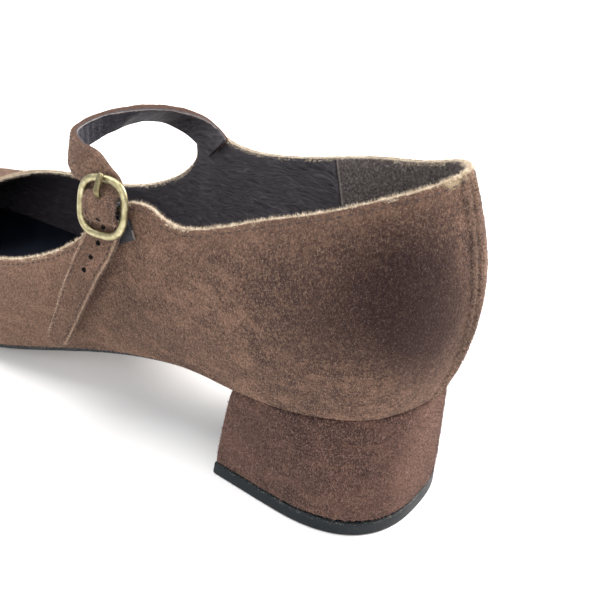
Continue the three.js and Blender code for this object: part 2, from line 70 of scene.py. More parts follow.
class Wire:  # a socket that takes part in sums
    def __init__(self, tree, socket):
        self.tree = tree
        self.socket = socket

    def work(self, operation, first, second):
        node = self.tree.nodes.new("ShaderNodeMath")
        node.operation = operation
        for slot, value in zip(node.inputs, (first, second)):
            if isinstance(value, Wire):
                self.tree.links.new(value.socket, slot)
            else:
                slot.default_value = value
        return Wire(self.tree, node.outputs[0])

    def __add__(self, other):
        return self.work("ADD", self, other)

    def __radd__(self, other):
        return self.work("ADD", other, self)

    def __sub__(self, other):
        return self.work("SUBTRACT", self, other)

    def __rsub__(self, other):
        return self.work("SUBTRACT", other, self)

    def __mul__(self, other):
        return self.work("MULTIPLY", self, other)

    def __rmul__(self, other):
        return self.work("MULTIPLY", other, self)


class Finish:
    def __init__(self, name, look):
        self.material = bpy.data.materials.new(name)
        self.material.use_nodes = True
        self.tree = self.material.node_tree
        self.surface = self.tree.nodes["Principled BSDF"]
        self.look = look
        for socket, value in look["gloss"].items():
            self.surface.inputs[socket].default_value = value
        spot = self.node("TexCoord", {}, {}, 3)
        self.place = self.node("VectorMath", {"operation": "SCALE"}, {0: spot, "Scale": 1000})

    def node(self, kind, settings, values, output=0):
        made = self.tree.nodes.new("ShaderNode" + kind)
        for key, value in settings.items():
            setattr(made, key, value)
        for key, value in values.items():
            if isinstance(value, Wire):
                self.tree.links.new(value.socket, made.inputs[key])
            else:
                made.inputs[key].default_value = value
        return Wire(self.tree, made.outputs[output])

    def noise(self, scale, detail=2, rough=0.5, stretch=None, seed=0.0, twist=0.0):
        where = self.place
        if stretch:
            where = self.node("VectorMath", {"operation": "MULTIPLY"}, {0: where, 1: stretch})
        values = {"Vector": where, "W": seed, "Scale": scale}
        values.update({"Detail": detail, "Roughness": rough, "Distortion": twist})
        return self.node("TexNoise", {"noise_dimensions": "4D"}, values)

    def axis(self, number):
        return self.node("SeparateXYZ", {}, {0: self.place}, number)

    def attribute(self, name):
        return self.node("Attribute", {"attribute_name": name}, {}, 2)

    def step(self, value, low, high):  # smooth, 0 at low and 1 at high
        values = {"Value": value, "From Min": low, "From Max": high, "To Min": 0.0, "To Max": 1.0}
        if low > high:
            values.update({"From Min": high, "From Max": low, "To Min": 1.0, "To Max": 0.0})
        return self.node("MapRange", {"interpolation_type": "SMOOTHSTEP"}, values)

    def spot(self, x, y, z, reach):  # 1 in the middle of a round patch, 0 at its reach
        middle = tuple(at(x, y, z) / mm)
        away = self.node("VectorMath", {"operation": "DISTANCE"}, {0: self.place, 1: middle}, 1)
        return self.step(away, reach, 0.0)

    def mix(self, first, second, factor):
        return self.node("Mix", {"data_type": "RGBA", "clamp_factor": True}, {0: factor, 6: first, 7: second}, 2)

    def lay(self, name, factor):  # a further colour of the look over what is there
        self.colour = self.mix(self.colour, self.look[name], factor)

    def bump(self, height, strength, deep):
        return self.node("Bump", {}, {"Strength": strength, "Distance": deep * mm, "Height": height})

    def feed(self, name, wire):
        self.tree.links.new(wire.socket, self.surface.inputs[name])


def showPiece(name, mesh, materials, nodes=()):
    piece = bpy.data.objects.new(name, mesh)
    bpy.context.scene.collection.objects.link(piece)
    for material in materials:
        mesh.materials.append(material)
    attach(piece, body)
    if nodes:
        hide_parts(*nodes)
    return piece


def meshOf(bm, name, smooth):  # smooth up to this angle in degrees, or flat faces with 0
    mesh = bpy.data.meshes.new(name)
    bm.to_mesh(mesh)
    bm.free()
    if smooth:
        mesh.shade_smooth()
        mesh.set_sharp_from_angle(angle=math.radians(smooth))
    return mesh


def mergedNode(name):
    bm = bmesh.new()
    bm.from_mesh(bpy.data.objects[name].data)
    bmesh.ops.remove_doubles(bm, verts=bm.verts, dist=2e-6)
    bmesh.ops.recalc_face_normals(bm, faces=bm.faces)
    return bm


def quadsFrom(bm):
    limits = {"angle_face_threshold": math.radians(60), "angle_shape_threshold": math.radians(70)}
    bmesh.ops.join_triangles(bm, faces=bm.faces, **limits)


def creaseEdges(bm, angle, amount):
    crease = bm.edges.layers.float.new("crease_edge")
    for edge in bm.edges:
        if len(edge.link_faces) == 2 and edge.calc_face_angle() > math.radians(angle):
            edge[crease] = amount


def inOrder(bm):  # extruding leaves points and faces in any order, and the nap that is drawn on them has to repeat
    rank = {vert: i for i, vert in enumerate(sorted(bm.verts, key=lambda vert: tuple(vert.co)))}
    bm.verts.sort(key=lambda vert: rank[vert])
    bm.verts.index_update()
    rings = []
    for face in bm.faces:
        ring = [vert.index for vert in face.verts]
        first = ring.index(min(ring))
        rings.append(ring[first:] + ring[:first])
    bmesh.ops.delete(bm, geom=bm.edges[:] + bm.faces[:], context="EDGES_FACES")
    bm.verts.ensure_lookup_table()
    for ring in sorted(rings):
        bm.faces.new([bm.verts[index] for index in ring])


def treeOf(verts):
    tree = KDTree(len(verts))
    for i, vert in enumerate(verts):
        tree.insert(vert.co, i)
    tree.balance()
    return tree


def appliedMesh(piece):  # the piece's mesh with its modifiers, ready to be worked on
    finer = bpy.data.meshes.new_from_object(piece.evaluated_get(bpy.context.evaluated_depsgraph_get()))
    fine = bmesh.new()
    fine.from_mesh(finer)
    bpy.data.meshes.remove(finer)
    return fine


def subdivided(bm, levels):
    rough = bpy.data.objects.new("rough", meshOf(bm, "rough", 0))
    bpy.context.scene.collection.objects.link(rough)
    modifier = rough.modifiers.new("finer", "SUBSURF")
    modifier.levels = modifier.render_levels = levels
    fine = appliedMesh(rough)
    bpy.data.objects.remove(rough)
    return fine


def throughPoints(points, steps):  # a smooth line, with a few places to each span
    padded = [points[0] * 2 - points[1], *points, points[-1] * 2 - points[-2]]
    line = []
    for a, b, c, d in zip(padded, padded[1:], padded[2:], padded[3:]):
        before, span, after = [math.sqrt((q - p).length) for p, q in ((a, b), (b, c), (c, d))]
        leave = ((b - a) / before - (c - a) / (before + span) + (c - b) / span) * span
        arrive = ((c - b) / span - (d - b) / (span + after) + (d - c) / after) * span
        for i in range(steps):
            u = i / steps
            curve = (3 * (c - b) - 2 * leave - arrive) * u * u
            line.append(b + leave * u + curve + (2 * (b - c) + leave + arrive) * u ** 3)
    return [*line, points[-1].copy()]


def smoothPath(points, steps):  # the same for a line of places in the shoe
    return [point * mm for point in throughPoints([point / mm for point in points], steps)]


def bandOutline(width, thickness, corner, flat=8):  # a flat band's section, from one edge over the outside
    half, deep = width / 2, thickness / 2
    corner = min(corner, half * 0.95, deep * 0.95)
    outline = []

    def bend(end, side, start):
        for i in range(3):
            angle = start + math.pi / 2 * i / 2
            over = side * (deep - corner) + corner * math.sin(angle)
            outline.append((end * (half - corner) + corner * math.cos(angle), over))

    for side, start in ((1, 0), (-1, math.pi)):
        bend(side, side, start)
        for i in range(1, flat):
            outline.append((side * (half - corner) * (1 - 2 * i / flat), side * deep))
        bend(-side, side, start + math.pi / 2)
    return outline


def sweep(path, across, outlineAt, closed=False):  # notes in millimetres how far along and across each point lies
    bm = bmesh.new()
    place = bm.verts.layers.int.new("place")
    along = bm.verts.layers.float.new("along")
    side = bm.verts.layers.float.new("side")
    sheet = bm.verts.layers.float.new("sheet")
    travelled = 0.0
    firstEdges = edges = None
    for i, middle in enumerate(path):
        ahead = path[(i + 1) % len(path)] if closed else path[min(i + 1, len(path) - 1)]
        behind = path[i - 1] if closed else path[max(i - 1, 0)]
        forward = (ahead - behind).normalized()
        wide = (across[i] - forward * across[i].dot(forward)).normalized()
        out = forward.cross(wide)
        outline = outlineAt(i)
        if i:
            travelled += (middle - path[i - 1]).length
            grown = bmesh.ops.extrude_edge_only(bm, edges=edges)["geom"]
            ring = [v for v in grown if isinstance(v, bmesh.types.BMVert)]
            members = set(ring)
            edges = [e for e in grown if isinstance(e, bmesh.types.BMEdge) and set(e.verts) <= members]
        else:
            ring = bmesh.ops.create_circle(bm, segments=len(outline), radius=mm)["verts"]
            for k, vert in enumerate(ring):
                vert[place] = k
            firstEdges = edges = bm.edges[:]
        for vert in ring:
            a, b = outline[vert[place]]
            vert.co = middle + wide * a + out * b
            vert[along] = travelled / mm
            vert[side] = a / mm
            vert[sheet] = b / mm
    if closed:
        bmesh.ops.bridge_loops(bm, edges=firstEdges + edges)
    else:
        bmesh.ops.contextual_create(bm, geom=firstEdges)
        bmesh.ops.contextual_create(bm, geom=edges)
    bmesh.ops.recalc_face_normals(bm, faces=bm.faces)
    return bm


def scatter(template, places, each=300):  # copies of a small mesh, gathered in batches
    whole = bmesh.new()
    for start in range(0, len(places), each):
        batch = bmesh.new()
        for spot in places[start:start + each]:
            template.transform(spot)
            batch.from_mesh(template)
            template.transform(spot.inverted())
        gathered = bpy.data.meshes.new("batch")
        batch.to_mesh(gathered)
        batch.free()
        whole.from_mesh(gathered)
        bpy.data.meshes.remove(gathered)
    return whole


def standing(point, direction, facing, size):  # a small mesh's y runs along direction and its z towards facing
    sideways = direction.cross(facing).normalized()
    over = sideways.cross(direction).normalized()
    turn = Matrix((sideways, direction.normalized(), over)).transposed()
    return Matrix.Translation(point) @ turn.to_4x4() @ Matrix.Diagonal((*size, 1))


def pointing(point, direction, size):  # a small mesh's z runs along direction
    turn = direction.to_track_quat("Z", "Y").to_matrix()
    return Matrix.Translation(point) @ turn.to_4x4() @ Matrix.Diagonal((*size, 1))


def makeFibre():  # one hair of the nap
    bm = bmesh.new()
    bmesh.ops.create_cone(bm, segments=3, radius1=1, radius2=0, depth=1)
    bmesh.ops.translate(bm, vec=(0, 0, 0.5), verts=bm.verts)
    bmesh.ops.delete(bm, geom=[f for f in bm.faces if f.normal.z < -0.9], context="FACES_ONLY")
    return meshOf(bm, "fibre", 0)


fibre = makeFibre()


def makeNap(name, mesh, weights, settings):
    chance = random.Random(settings["seed"])
    faces = mesh.polygons
    places = []
    for index in chance.choices(range(len(faces)), weights=weights, k=settings["count"]):
        face = faces[index]
        a, b, c = [mesh.vertices[v].co for v in chance.sample(list(face.vertices), 3)]
        u, v = chance.random(), chance.random()
        if u + v > 1:
            u, v = 1 - u, 1 - v
        point = a + (b - a) * u + (c - a) * v
        loose = Vector([chance.uniform(-1, 1) for axis in range(3)])
        direction = (face.normal + loose * settings["loose"]).normalized()
        tall = chance.uniform(*settings["length"]) * mm
        wide = settings["thick"] * mm * chance.uniform(0.7, 1.2)
        rooted = point - face.normal * 0.05 * mm
        places.append(pointing(rooted, direction, (wide, wide, tall)))
    return meshOf(scatter(fibre, places), name, 0)


def makeStitches(name, lines, settings):
    bm = bmesh.new()
    bmesh.ops.create_uvsphere(bm, u_segments=6, v_segments=4, radius=1)
    bmesh.ops.rotate(bm, matrix=Matrix.Rotation(math.pi / 2, 3, "X"), verts=bm.verts)
    stitch = meshOf(bm, "stitch", 60)
    size = [half * mm for half in settings["stitch"]]
    places = []
    for line in lines:
        for spot, forward, facing in spaced(line, settings["stitchPitch"] * mm, settings["stitchStart"] * mm):
            places.append(standing(spot + facing * settings["stitchLift"] * mm, forward, facing, size))
    return meshOf(scatter(stitch, places), name, 60)


def spaced(points, pitch, start):  # even places along a line: point, direction, normal
    places = []
    need = start
    for (a, na), (b, nb) in zip(points, points[1:]):
        span = (b - a).length
        if span < 1e-9:
            continue
        while need <= span:
            u = need / span
            places.append((a.lerp(b, u), (b - a).normalized(), na.lerp(nb, u).normalized()))
            need += pitch
        need -= span
    return places


suedeLook = {
    "base": tint(80, 61, 52),
    "light": tint(118, 92, 76),
    "dark": tint(58, 44, 40),
    "fleck": tint(158, 130, 110),
    "deep": tint(36, 23, 24),
    "edge": tint(190, 174, 150),
    "worn": tint(150, 136, 110),
    "grain": 1.5,  # grains to a millimetre
    "darkSpots": [],  # x, y, z and reach in millimetres, then how strong
    "lightSpots": [],
    "wornSpots": [],
    "forward": None,  # lighter from the first of these places to the second, towards the toe
    "gloss": {"Roughness": 0.96, "Specular IOR Level": 0.1, "Sheen Weight": 0.14, "Sheen Roughness": 0.45,
              "Sheen Tint": tint(224, 190, 170)},
}


def suedeCloth(name, look, rimmed=True):
    cloth = Finish(name, look)
    broad = cloth.noise(0.045, detail=3, rough=0.6, seed=3.1, twist=0.6)
    smear = cloth.noise(0.13, detail=4, rough=0.62, stretch=(0.7, 1, 1.3), seed=7.4, twist=1.2)
    grain = cloth.noise(look["grain"], detail=4, rough=0.72, seed=1.7)
    fleck = cloth.noise(look["grain"] * 2.3, detail=2, rough=0.6, stretch=(1, 0.8, 0.55), seed=5.2, twist=0.8)
    cloth.colour = cloth.mix(look["dark"], look["base"], cloth.step(broad, 0.3, 0.58))
    cloth.lay("light", cloth.step(smear, 0.49, 0.62) * 0.65)
    cloth.lay("deep", cloth.step(smear, 0.46, 0.34) * 0.5)
    shade = 0.0
    for x, y, z, reach, amount in look["darkSpots"]:
        shade = shade + cloth.spot(x, y, z, reach) * (smear + 0.35) * amount
    bright = 1 - cloth.step(shade, 0.0, 1.1) * 0.65
    cloth.lay("deep", shade)
    for x, y, z, reach, amount in look["lightSpots"]:
        cloth.lay("light", cloth.spot(x, y, z, reach) * (smear + 0.35) * amount)
    if look["forward"]:
        ahead = cloth.step(cloth.axis(0) + (smear - 0.5) * 60, *look["forward"])
        cloth.lay("light", ahead * 0.6)
    cloth.lay("deep", cloth.step(grain, 0.49, 0.4) * 0.6)
    cloth.lay("deep", cloth.step(fleck, 0.46, 0.36) * 0.45)
    cloth.lay("light", cloth.step(grain, 0.52, 0.61) * 0.56 * bright)
    cloth.lay("fleck", cloth.step(fleck, 0.54, 0.64) * 0.45 * bright)
    cloth.lay("deep", cloth.step(shade + (fleck - 0.5) * 1.2, 0.2, 1.4) * 0.4)
    if rimmed:
        # reliefShading: a painted highlight on the back seam's ridges, and painted shade in its groove and on the
        # strap's side walls over the instep
        reliefShading = cloth.attribute("reliefShading")
        cloth.lay("fleck", cloth.step(reliefShading + (grain - 0.5), 0.2, 0.9) * 0.45)
        cloth.lay("deep", cloth.step(reliefShading, -0.05, -0.35) * 0.88)
        rim = cloth.attribute("rim")
        ragged = rim + (fleck - 0.5) * 0.9 + (grain - 0.5) * 1.1
        cloth.lay("edge", cloth.step(ragged, 0.85, 0.45) * 0.9)
        cloth.lay("light", cloth.step(rim + (smear - 0.5) * 6, 8.0, 1.0) * 0.25)
        cloth.lay("deep", cloth.step(rim, 0.3, 0.08) * 0.7)
    for x, y, z, reach in look["wornSpots"]:
        bare = cloth.step(cloth.spot(x, y, z, reach) + (fleck - 0.5), 0.3, 0.6)
        cloth.lay("worn", bare * 0.75)
    cloth.feed("Base Color", cloth.colour)
    cloth.feed("Normal", cloth.bump(grain * 1.2 + fleck * 0.8 + smear * 0.5, 1.0, 0.5))
    return cloth.material


liningLook = {
    "leather": tint(62, 58, 63),
    "fold": tint(98, 92, 94),
    "deep": tint(30, 28, 34),
    "counter": tint(92, 84, 82),
    "fuzz": tint(158, 148, 142),
    "edge": tint(196, 182, 162),
    "cool": None,  # a bluer leather further up the strap
    "gloss": {"Roughness": 0.6, "Specular IOR Level": 0.35},
}


def pastCounter(x, z):  # millimetres in front of the counter's seam, which leans back
    return x - z * 0.167 + 82.5


def liningLeather(name, look):
    skin = Finish(name, look)
    long = skin.noise(0.32, detail=5, rough=0.62, stretch=(0.45, 1, 1.5), seed=2.2, twist=1.8)
    fine = skin.noise(1.3, detail=4, rough=0.6, stretch=(0.5, 1, 1.4), seed=8.8, twist=1.5)
    pores = skin.noise(4.5, detail=2, seed=4.4)
    fuzz = skin.noise(1.5, detail=4, rough=0.75, seed=9.1)
    wisps = skin.noise(0.5, detail=4, rough=0.7, seed=6.3, twist=3.0)
    skin.colour = skin.mix(look["deep"], look["leather"], skin.step(long, 0.3, 0.5))
    skin.lay("fold", skin.step(long, 0.52, 0.68) * 0.55 + skin.step(fine, 0.55, 0.75) * 0.3)
    if look["cool"]:
        skin.lay("cool", skin.step(skin.attribute("along"), 16, 30) * 0.7)
    past = pastCounter(skin.axis(0), skin.axis(2))
    behind = skin.step(past, -0.1, -0.6)
    counter = skin.mix(look["counter"], look["deep"], skin.step(fuzz, 0.5, 0.38) * 0.6)
    counter = skin.mix(counter, look["fuzz"], skin.step(fuzz, 0.52, 0.64) * 0.6)
    counter = skin.mix(counter, look["fuzz"], skin.step(wisps, 0.62, 0.68) * skin.step(wisps, 0.74, 0.68) * 0.5)
    skin.colour = skin.mix(skin.colour, counter, behind)
    skin.lay("deep", skin.step(past, 0.0, -0.25) * skin.step(past, -0.7, -0.45) * 0.8)
    skin.lay("fuzz", skin.step(past, -0.6, -0.85) * skin.step(past, -1.4, -1.1) * 0.45)
    rim = skin.attribute("rim")
    ragged = rim + (pores - 0.5) * 0.8 + (fuzz - 0.5) * 0.9
    skin.lay("edge", skin.step(ragged, 0.8, 0.4) * 0.9)
    skin.feed("Base Color", skin.colour)
    skin.feed("Roughness", 0.52 + behind * 0.42 + skin.step(rim, 1.4, 0.6) * 0.3)
    relief = (long * 0.9 + fine * 0.35 + pores * 0.05) * (1 - behind) + fuzz * behind * 0.8
    skin.feed("Normal", skin.bump(relief, 0.9, 0.9))
    return skin.material


rubberLook = {
    "base": tint(8, 17, 22),
    "scuff": tint(34, 44, 50),
    "dust": tint(92, 92, 86),
    "tread": 0.5,  # scuffed up to this height
    "chipped": 3.9,  # chips from here up, at the lift's top edge
    "gloss": {"Roughness": 0.5, "Specular IOR Level": 0.22},
}


def soleRubber(name, look):
    rubber = Finish(name, look)
    cloudy = rubber.noise(0.12, detail=4, rough=0.6, seed=1.2)
    scratch = rubber.noise(1.6, detail=3, rough=0.6, stretch=(0.25, 0.25, 2.5), seed=2.6, twist=0.5)
    grit = rubber.noise(3.2, detail=2, seed=7.7)
    rubber.colour = rubber.mix(look["base"], look["scuff"], rubber.step(scratch, 0.6, 0.78) * 0.45)
    worn = rubber.step(rubber.axis(2), look["tread"] + 0.5, look["tread"] - 0.2) * rubber.step(cloudy, 0.3, 0.75)
    rubber.lay("scuff", worn * 0.5)
    rubber.lay("dust", rubber.step(grit, 0.6, 0.7) * 0.2)
    high = rubber.step(rubber.axis(2) + (grit - 0.5) * 3, look["chipped"], look["chipped"] + 0.3)
    rubber.lay("dust", high * rubber.step(grit, 0.56, 0.62) * 0.7)
    rubber.feed("Base Color", rubber.colour)
    rubber.feed("Roughness", 0.42 + cloudy * 0.25 + worn * 0.2)
    rubber.feed("Normal", rubber.bump(scratch * 0.5 + grit * 0.4, 0.5, 0.2))
    return rubber.material


sockLook = {
    "base": tint(8, 14, 28),
    "light": tint(20, 28, 44),
    "deep": tint(2, 5, 14),
    "gloss": {"Roughness": 0.62, "Specular IOR Level": 0.3},
}


def sockLeather(name, look):
    sock = Finish(name, look)
    soft = sock.noise(0.08, detail=4, rough=0.55, seed=3.3, twist=0.8)
    fine = sock.noise(2.4, detail=3, rough=0.6, seed=5.5)
    sock.colour = sock.mix(look["base"], look["light"], sock.step(soft, 0.5, 0.75) * 0.6)
    sock.lay("deep", sock.step(soft, 0.45, 0.25) * 0.7 + sock.step(fine, 0.42, 0.3) * 0.25)
    sock.feed("Base Color", sock.colour)
    sock.feed("Roughness", 0.5 + soft * 0.25)
    sock.feed("Normal", sock.bump(fine * 0.4 + soft * 0.6, 0.5, 0.3))
    return sock.material


brassLook = {
    "base": tint(160, 152, 118),
    "worn": tint(204, 196, 166),
    "tarnish": tint(88, 78, 52),
    "tarnished": 0.45,
    "gloss": {"Metallic": 1.0, "Roughness": 0.34},
}


def antiqueBrass(name, look):
    brass = Finish(name, look)
    cloudy = brass.noise(0.6, detail=4, rough=0.65, seed=2.9, twist=0.7)
    fine = brass.noise(4.0, detail=3, rough=0.6, seed=6.1)
    brass.colour = brass.mix(look["base"], look["worn"], brass.step(cloudy, 0.5, 0.7) * 0.6)
    dull = brass.step(cloudy, 0.55, 0.36) * look["tarnished"] + brass.step(fine, 0.4, 0.28) * 0.35
    brass.lay("tarnish", dull)
    brass.feed("Base Color", brass.colour)
    brass.feed("Roughness", 0.26 + look["tarnished"] * 0.1 + cloudy * 0.22)
    brass.feed("Normal", brass.bump(fine, 0.35, 0.06))
    return brass.material


threadLook = {"base": tint(44, 31, 27), "light": tint(72, 54, 46), "twist": 2.0, "gloss": {"Roughness": 0.8}}
napLook = {
    "base": tint(168, 150, 126),
    "light": tint(214, 200, 178),
    "twist": 0.8,
    "gloss": {"Roughness": 0.9, "Sheen Weight": 0.2},
}
fuzzLook = {
    "base": tint(64, 48, 42),
    "light": tint(158, 130, 112),
    "deep": tint(30, 22, 22),
    "twist": 1.6,
    "gloss": {"Roughness": 0.95, "Sheen Weight": 0.2},
}


def twistedFibre(name, look):
    strand = Finish(name, look)
    twist = strand.noise(look["twist"], detail=2, rough=0.6, seed=1.1)
    strand.colour = strand.mix(look["base"], look["light"], strand.step(twist, 0.44, 0.58))
    for x, y, z, reach, amount in look.get("darkSpots", []):
        strand.lay("deep", strand.spot(x, y, z, reach) * (0.4 + twist) * amount * 0.8)
    strand.feed("Base Color", strand.colour)
    strand.feed("Normal", strand.bump(twist, 0.3, 0.05))
    return strand.material


ridgeRow, lastRow = 12, 24  # rows of the upper's mesh: 0 outside at the sole, 12 on the topline, 24 inside at the sole
backSeam = at(0, 0, 0).y
upperSettings = {
    "levels": 2,
    "grooveDepth": 0.22,  # between suede and lining, along the topline
    "seamHalf": 2.3,  # doubled ridge over the back seam
    "seamHeight": 0.8,
    "seamGroove": 0.42,
    "counterStep": 0.35,  # the counter's lining stands up at its seam
    "stitchDrop": 1.9,
    "stitchStart": 0.0,
    "stitchPitch": 2.5,
    "stitchLift": 0.02,
    "stitch": (0.26, 0.85, 0.18),
}
# creases and soft dents on the outside: from, to, half width, depth, all in millimetres
creases = [
    ((150, 40, 22), (160, 22, 34), 3.4, 0.55),
    ((156, 42, 18), (168, 26, 30), 2.8, 0.45),
    ((163, 43, 15), (176, 30, 25), 2.6, 0.35),
    ((152, -40, 22), (160, -28, 34), 3.2, 0.5),
    ((160, -43, 18), (170, -30, 28), 2.8, 0.4),
    ((78, 33, 62), (100, 35, 50), 4.0, 0.5),
    ((62, 33, 66), (78, 34, 52), 4.5, 0.45),
    ((34, 31, 78), (50, 32, 62), 5.0, 0.4),
    ((80, 34, 40), (100, 37, 34), 4.0, 0.4),
    ((46, 34, 52), (66, 34, 44), 4.5, 0.35),
    ((20, 26, 70), (26, 30, 54), 4.0, 0.35),
    ((92, -36, 52), (112, -38, 44), 4.0, 0.4),
    ((60, -34, 66), (84, -34, 54), 4.0, 0.4),
]


def layRows(bm):  # numbers the points upwards from the flat underside
    row = bm.verts.layers.float.new("row")
    lowest = min(bm.faces, key=lambda face: face.calc_center_median().z + face.normal.z * mm)
    under = {lowest}
    front = [lowest]
    while front:
        for edge in front.pop().edges:
            for face in edge.link_faces:
                if face not in under and face.normal.z < -0.93:
                    under.add(face)
                    front.append(face)
    border = {edge for edge in bm.edges if sum(face in under for face in edge.link_faces) == 1}
    loops = []
    while border:
        start = border.pop()
        loop, front = {start}, [start]
        while front:
            for vert in front.pop().verts:
                for edge in vert.link_edges:
                    if edge in border:
                        border.discard(edge)
                        loop.add(edge)
                        front.append(edge)
        loops.append(loop)
    loops.sort(key=lambda loop: -sum(edge.calc_length() for edge in loop))
    outer = {vert for edge in loops[0] for vert in edge.verts}
    inner = {vert for edge in loops[1] for vert in edge.verts}
    done = outer | inner
    level, current = 0, outer
    while current:
        for vert in current:
            vert[row] = level
        level += 1
        current = {e.other_vert(v) for v in current for e in v.link_edges} - done
        done |= current
    for vert in inner:
        vert[row] = lastRow


def ridgeLine(bm):  # the topline's ridge in order, once round
    row = bm.verts.layers.float["row"]
    ridge = set()
    for vert in bm.verts:
        beside = [edge.other_vert(vert)[row] for edge in vert.link_edges]
        if abs(vert[row] - ridgeRow) < 0.02 and all(abs(other - ridgeRow) < 2 for other in beside):
            ridge.add(vert)
    start = min(ridge, key=lambda v: v.co.x)
    line, last = [start], None
    while True:
        here = line[-1]
        ways = [edge.other_vert(here) for edge in here.link_edges]
        ways = [v for v in ways if v in ridge and v is not last]
        if len(line) == 1:
            ways = sorted(ways, key=lambda v: -v.co.y)[:1]
        ways = [v for v in ways if v is start or v not in line[-4:]]
        if not ways or ways[0] is start:
            break
        last = here
        line.append(ways[0])
    return line


def dentFor(point):
    deep = 0.0
    for first, last, wide, depth in creases:
        a, b = at(*first), at(*last)
        share = max(0.0, min(1.0, (point - a).dot(b - a) / (b - a).length_squared))
        away = (point - a.lerp(b, share)).length / (wide * mm)
        if away < 3:
            fade = math.sin(math.pi * (0.12 + 0.76 * share))
            deep += depth * fade * (math.exp(-away * away) - 0.45 * math.exp(-((away - 1.7) ** 2) * 2.2))
    return -deep * mm


def makeUpper():
    settings = upperSettings
    bm = mergedNode("upper")
    layRows(bm)
    quadsFrom(bm)
    row = bm.verts.layers.float["row"]
    crease = bm.edges.layers.float.new("crease_edge")
    for edge in bm.edges:
        ends = {round(v[row]) for v in edge.verts}
        if ends == {0} or ends == {lastRow}:
            edge[crease] = 0.9
    bm = subdivided(bm, settings["levels"])
    row = bm.verts.layers.float["row"]
    rim = bm.verts.layers.float.new("rim")
    reliefShading = bm.verts.layers.float.new("reliefShading")
    line = ridgeLine(bm)
    tree = treeOf(line)
    bm.normal_update()
    moved = []
    for vert in bm.verts:
        away = tree.find(vert.co)[2] / mm
        vert[rim] = away
        shift = 0.0
        if vert[row] < ridgeRow:
            shift += dentFor(vert.co)
            seam = abs(vert.co.y - backSeam) / mm
            if vert.co.x < at(34, 0, 0).x and seam < settings["seamHalf"] * 2:
                ridge = math.exp(-((seam / settings["seamHalf"]) ** 4)) * settings["seamHeight"]
                groove = math.exp(-((seam / settings["seamGroove"]) ** 2)) * settings["seamHeight"] * 0.95
                shift += (ridge - groove) * mm * min(1.0, away / 2)
                # painted highlight on the seam's two ridges, and painted shade in the groove between them
                vert[reliefShading] = (ridge - groove * 1.3) / settings["seamHeight"]
        else:
            past = pastCounter(vert.co.x / mm, vert.co.z / mm)
            shift += settings["counterStep"] * mm * math.exp(-((past / 0.9) ** 2))
        shift -= settings["grooveDepth"] * mm * math.exp(-((away / 0.3) ** 2))
        moved.append((vert, shift))
    for vert, shift in moved:
        vert.co += vert.normal * shift
    for face in bm.faces:
        face.material_index = 1 if sum(v[row] for v in face.verts) / len(face.verts) > ridgeRow + 0.1 else 0
    ridge = [v.co.copy() for v in line]
    return meshOf(bm, "upper_suede", 0), ridge


def toplineStitchLine(mesh, ridge):  # on the suede, a little below the topline
    rims = mesh.attributes["rim"].data
    rows = mesh.attributes["row"].data
    outside = [v for v in mesh.vertices if rows[v.index].value < ridgeRow - 0.1]
    tree = treeOf([v for v in outside if 2 < rims[v.index].value < 4.2])
    faces = [list(face.vertices) for face in mesh.polygons if rows[face.vertices[0]].value < ridgeRow]
    skin = BVHTree.FromPolygons([v.co for v in mesh.vertices], faces)
    line = []
    for point in ridge:
        low = tree.find(point)[0]
        aim = point + (low - point).normalized() * upperSettings["stitchDrop"] * mm
        line.append(skin.find_nearest(aim)[:2])
    return line + line[:1]


upperLook = {
    **suedeLook,
    "darkSpots": [
        (10, 15, 80, 24, 0.75), (10, 18, 68, 26, 0.75), (4, 12, 60, 22, 0.6), (26, 24, 74, 28, 0.45),
        (30, 28, 58, 26, 0.4), (86, 34, 44, 20, 0.4), (60, 34, 70, 14, 0.35), (20, -26, 64, 26, 0.7),
        (96, -37, 48, 18, 0.4),
    ],
    "lightSpots": [(110, 38, 36, 26, 0.6), (74, 34, 60, 18, 0.4), (50, 33, 82, 14, 0.5), (150, 42, 22, 24, 0.5)],
    "wornSpots": [(11.5, 4.8, 97.8, 5), (10.4, 1, 98.2, 4)],
    "forward": (-60, 30),
}
upperNaps = {
    "topline_nap": {"count": 17000, "length": (0.4, 1.3), "thick": 0.055, "loose": 1.0, "seed": 11},
    "upper_nap": {"count": 62000, "length": (0.4, 0.95), "thick": 0.055, "loose": 1.4, "seed": 12},
    "counter_nap": {"count": 9000, "length": (0.4, 1.1), "thick": 0.04, "loose": 1.6, "seed": 13},
}


def upperNapWeights(mesh):  # how thickly each face is set with hairs: the topline, the suede, the counter's lining
    rims = mesh.attributes["rim"].data
    rows = mesh.attributes["row"].data
    topline, suede, counter = [], [], []
    for face in mesh.polygons:
        away = rims[face.vertices[0]].value
        row = rows[face.vertices[0]].value
        size = face.area * 1e6
        topline.append(size if away < 1.2 and row < ridgeRow + 1.6 else 0.0)
        nearSeam = face.center.x < at(30, 0, 0).x and row < ridgeRow and abs(face.center.y - backSeam) < 3 * mm
        suede.append(size * (10 if nearSeam else 1) if away > 1 and row < ridgeRow - 0.5 else 0.0)
        behind = pastCounter(face.center.x / mm, face.center.z / mm) < -0.9 and face.center.z > 42 * mm
        counter.append(size if behind and away > 0.8 and row > ridgeRow + 0.5 else 0.0)
    return topline, suede, counter


suede = suedeCloth("brown_suede", upperLook)
lining = liningLeather("lining_leather", liningLook)
thread = twistedFibre("brown_thread", threadLook)
nap = twistedFibre("cream_nap", napLook)
fuzz = twistedFibre("suede_fuzz", {**fuzzLook, "darkSpots": upperLook["darkSpots"]})
greyLook = {**fuzzLook, "base": tint(74, 68, 68), "light": tint(150, 142, 136), "twist": 1.2}
greyFuzz = twistedFibre("lining_fuzz", greyLook)
print("scene: finishes")

